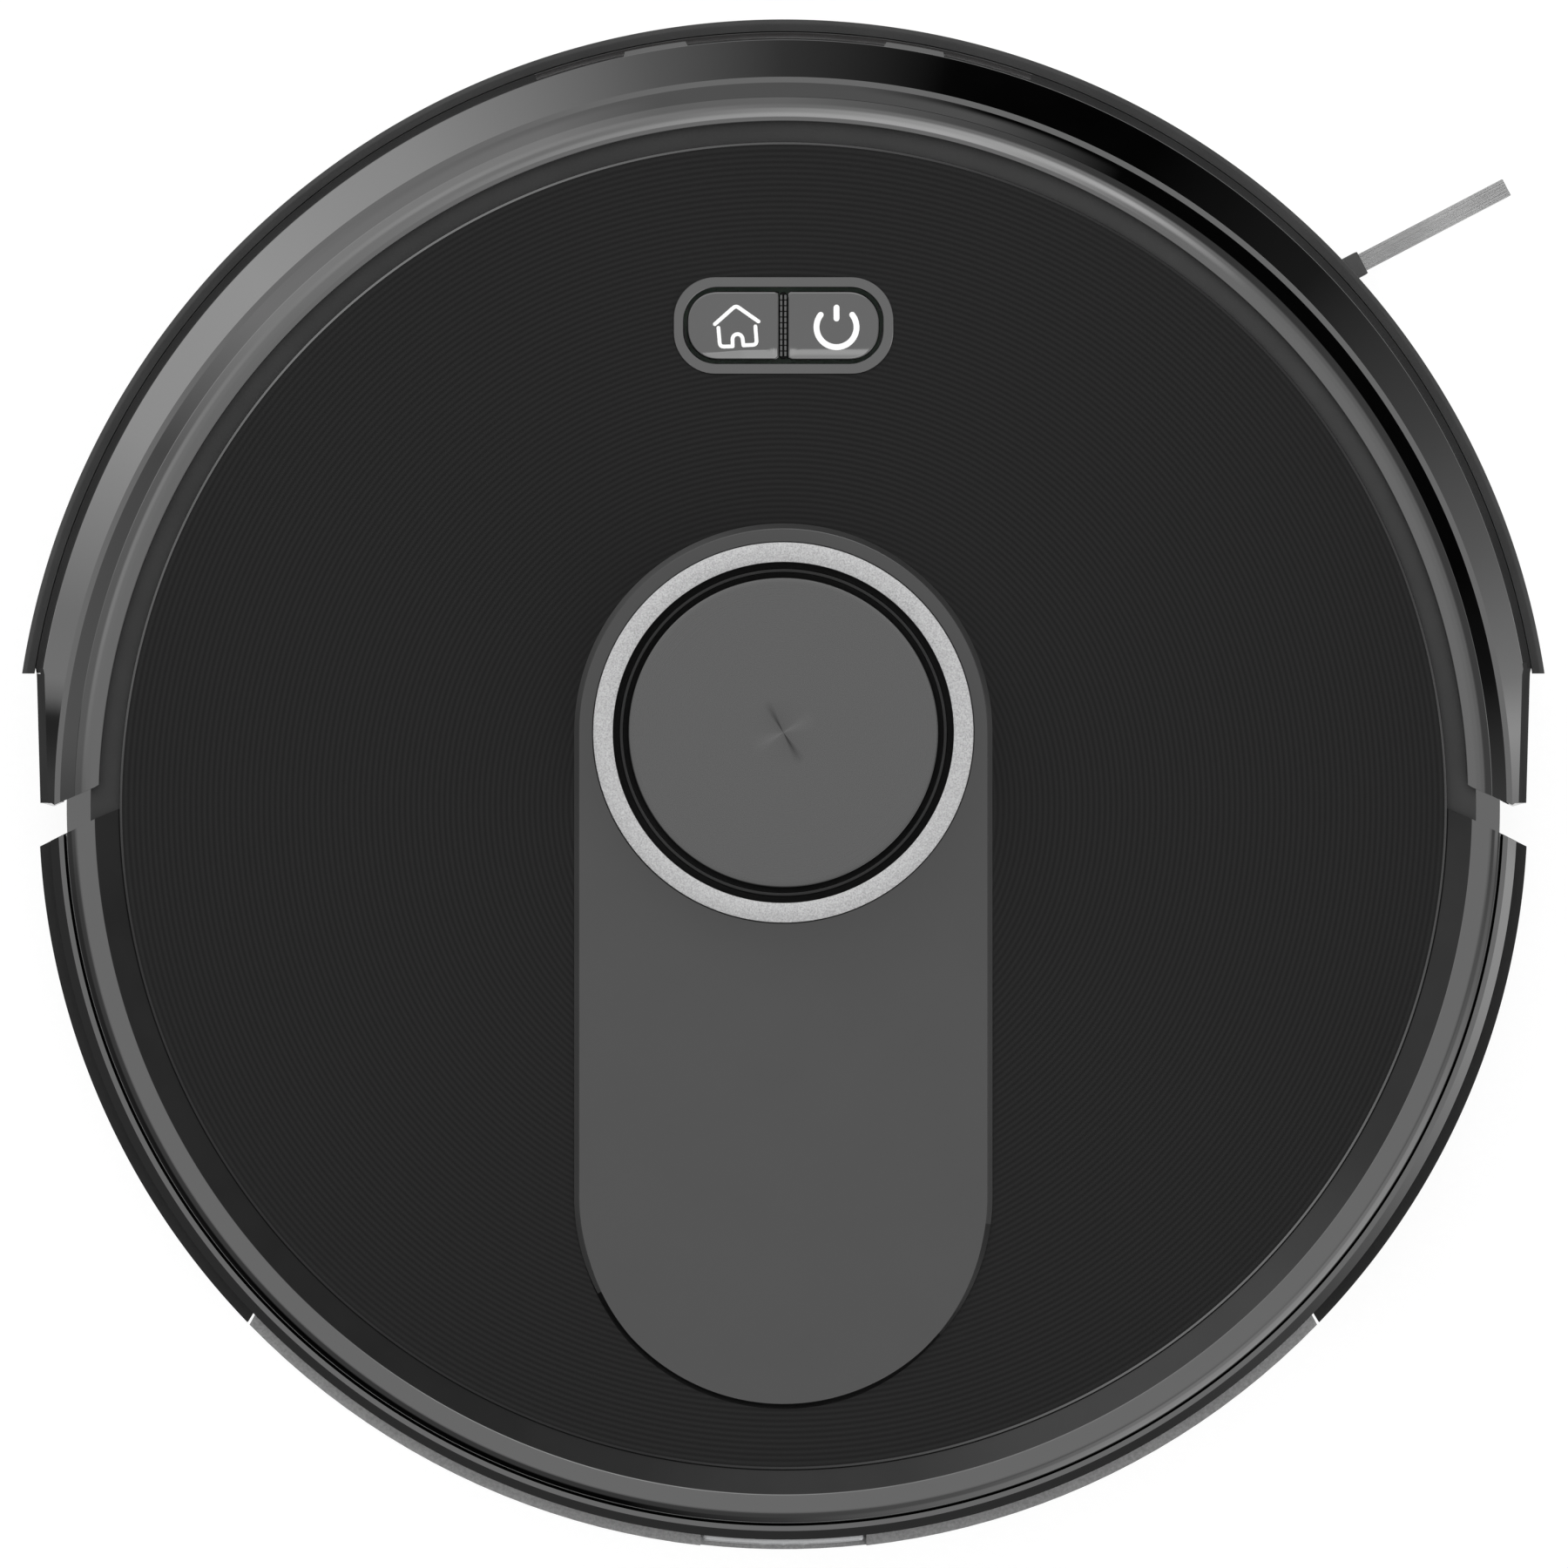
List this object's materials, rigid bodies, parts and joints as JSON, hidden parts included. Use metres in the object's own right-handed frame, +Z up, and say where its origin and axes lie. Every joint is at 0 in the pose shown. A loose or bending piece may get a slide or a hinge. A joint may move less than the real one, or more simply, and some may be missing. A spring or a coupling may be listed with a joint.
{
  "type": "robot vacuum",
  "caption": "Round robot vacuum cleaner with a laser turret, two push buttons, a sprung front bumper, sprung drive wheels, rotating brushes and a slide-out dust tank.",
  "frame": {"origin": "on the floor, under the middle of the footprint (bumper strip to rear wall)", "axes": "+Y towards the bumper at the front, +X to the machine's right, +Z up"},
  "size_m": [0.3378, 0.3394, 0.096],
  "materials": {
    "black_matte": "fine-textured black housing plastic",
    "black_gloss": "polished piano-black plastic",
    "cover_matte": "matte black with fine concentric grooves",
    "deck_matte": "matte dark grey",
    "silver_blasted": "bead-blasted silver",
    "spun_metal": "spun dark metal",
    "steel": "plain zinc-plated steel",
    "brass": "turned brass",
    "strip_rubber": "soft matte rubber",
    "tyre": "moulded rubber tread",
    "hub_grey": "grey moulded plastic",
    "ir_window": "dark infrared-clear plastic",
    "tank_grey": "finely mottled grey plastic",
    "board_green": "solder-masked circuit board",
    "battery_wrap": "shrink-wrapped cells",
    "brush_orange": "orange moulded plastic",
    "blade_grey": "soft blades and tufts",
    "bristle_grey": "nylon bristles",
    "gear_white": "acetal",
    "filter_white": "pleated filter felt"
  },
  "bodies": {
    "body": {"chassis": "black_matte", "rear_shell": "black_gloss", "top_ring": "black_gloss", "top_cover": "cover_matte", "deck_panel": "deck_matte", "turret_housing": "black_gloss", "turret_ring": "silver_blasted", "turret_cap": "spun_metal", "lidar_base": "black_matte", "lidar_motor": "steel", "lidar_belt": "strip_rubber", "button_bezel": "black_gloss", "button_divider": "hub_grey", "button_board": "board_green", "bumper_springs": "steel", "bumper_switches": "black_matte", "case_screws": "steel", "main_board": "board_green", "battery_pack": "battery_wrap", "battery_door": "black_matte", "charging_contacts": "steel", "cliff_windows": "ir_window", "fan_housing": "black_matte", "fan_motor": "steel", "brush_bearing": "brush_orange", "brush_guard": "strip_rubber", "brush_gearbox": "black_matte", "brush_motor": "steel", "side_brush_motor": "black_matte", "wheel_arm_pins": "steel", "left_wheel_spring": "steel", "right_wheel_spring": "steel"},
    "bumper": {"bumper": "black_gloss", "bumper_strip": "strip_rubber", "sensor_window": "ir_window"},
    "home_button": {"home_button": "black_gloss"},
    "power_button": {"power_button": "black_gloss"},
    "lidar_rotor": {"lidar_rotor": "black_matte"},
    "lidar_pulley": {"lidar_pulley": "brass"},
    "impeller": {"impeller": "black_matte"},
    "main_brush": {"brush_core": "brush_orange", "brush_bristles": "blade_grey", "brush_gear": "gear_white"},
    "brush_pinion": {"brush_pinion": "brass"},
    "side_brush": {"side_brush_hub": "black_matte", "side_brush_bristles": "bristle_grey", "side_brush_screw": "steel"},
    "left_arm": {"left_wheel_arm": "black_matte"},
    "right_arm": {"right_wheel_arm": "black_matte"},
    "left_wheel": {"left_wheel_hub": "hub_grey", "left_wheel_tyre": "tyre"},
    "right_wheel": {"right_wheel_hub": "hub_grey", "right_wheel_tyre": "tyre"},
    "caster_fork": {"caster_fork": "black_matte", "caster_pin": "steel"},
    "caster_wheel": {"caster_wheel": "strip_rubber"},
    "tank": {"tank_body": "tank_grey", "tank_lid": "black_matte", "tank_filter": "filter_white"},
    "tank_button": {"tank_button": "silver_blasted"}
  },
  "joints": [
    {"name": "bumper_push", "type": "slide", "parent": "body", "child": "bumper", "axis": [0, -1, 0], "range_m": [0, 0.0035], "stiffness_N_per_m": 300, "springref_m": -0.003},
    {"name": "home_press", "type": "slide", "parent": "body", "child": "home_button", "axis": [0, 0, -1], "range_m": [0, 0.0006], "stiffness_N_per_m": 1500, "springref_m": -0.0004},
    {"name": "power_press", "type": "slide", "parent": "body", "child": "power_button", "axis": [0, 0, -1], "range_m": [0, 0.0006], "stiffness_N_per_m": 1500, "springref_m": -0.0004},
    {"name": "lidar_spin", "type": "hinge", "parent": "body", "child": "lidar_rotor", "pos_m": [0, 0.0115, 0.064], "axis": [0, 0, 1], "continuous": true},
    {"name": "lidar_pulley_spin", "type": "hinge", "parent": "body", "child": "lidar_pulley", "pos_m": [-0.02, -0.0487, 0.064], "axis": [0, 0, 1], "continuous": true},
    {"name": "impeller_spin", "type": "hinge", "parent": "body", "child": "impeller", "pos_m": [0.046, -0.0587, 0.06], "axis": [0, 0, 1], "continuous": true},
    {"name": "main_brush_spin", "type": "hinge", "parent": "body", "child": "main_brush", "pos_m": [0, -0.0667, 0.0205], "axis": [1, 0, 0], "continuous": true},
    {"name": "brush_pinion_spin", "type": "hinge", "parent": "body", "child": "brush_pinion", "pos_m": [-0.099, -0.0708, 0.03178], "axis": [1, 0, 0], "continuous": true},
    {"name": "side_brush_spin", "type": "hinge", "parent": "body", "child": "side_brush", "pos_m": [0.0936, 0.0977, 0.008], "axis": [0, 0, 1], "continuous": true},
    {"name": "left_arm_drop", "type": "hinge", "parent": "body", "child": "left_arm", "pos_m": [-0.101, 0.0273, 0.046], "axis": [1, 0, 0], "range_deg": [0, 20], "stiffness_Nm_per_rad": 0.5, "springref_deg": 34.38},
    {"name": "right_arm_drop", "type": "hinge", "parent": "body", "child": "right_arm", "pos_m": [0.101, 0.0273, 0.046], "axis": [1, 0, 0], "range_deg": [0, 20], "stiffness_Nm_per_rad": 0.5, "springref_deg": 34.38},
    {"name": "left_wheel_spin", "type": "hinge", "parent": "left_arm", "child": "left_wheel", "pos_m": [-0.118, -0.0187, 0.033], "axis": [1, 0, 0], "continuous": true},
    {"name": "right_wheel_spin", "type": "hinge", "parent": "right_arm", "child": "right_wheel", "pos_m": [0.118, -0.0187, 0.033], "axis": [1, 0, 0], "continuous": true},
    {"name": "caster_swivel", "type": "hinge", "parent": "body", "child": "caster_fork", "pos_m": [0, 0.1213, 0.03], "axis": [0, 0, 1], "continuous": true},
    {"name": "caster_roll", "type": "hinge", "parent": "caster_fork", "child": "caster_wheel", "pos_m": [0, 0.1153, 0.013], "axis": [1, 0, 0], "continuous": true},
    {"name": "tank_slide", "type": "slide", "parent": "body", "child": "tank", "axis": [0, -1, 0], "range_m": [0, 0.08]},
    {"name": "tank_release", "type": "slide", "parent": "tank", "child": "tank_button", "axis": [0, 1, 0], "range_m": [0, 0.002], "stiffness_N_per_m": 800, "springref_m": -0.002}
  ],
  "couplings": [
    {"joint": "lidar_pulley_spin", "follows": "lidar_spin", "ratio": 8},
    {"joint": "brush_pinion_spin", "follows": "main_brush_spin", "ratio": -2}
  ]
}
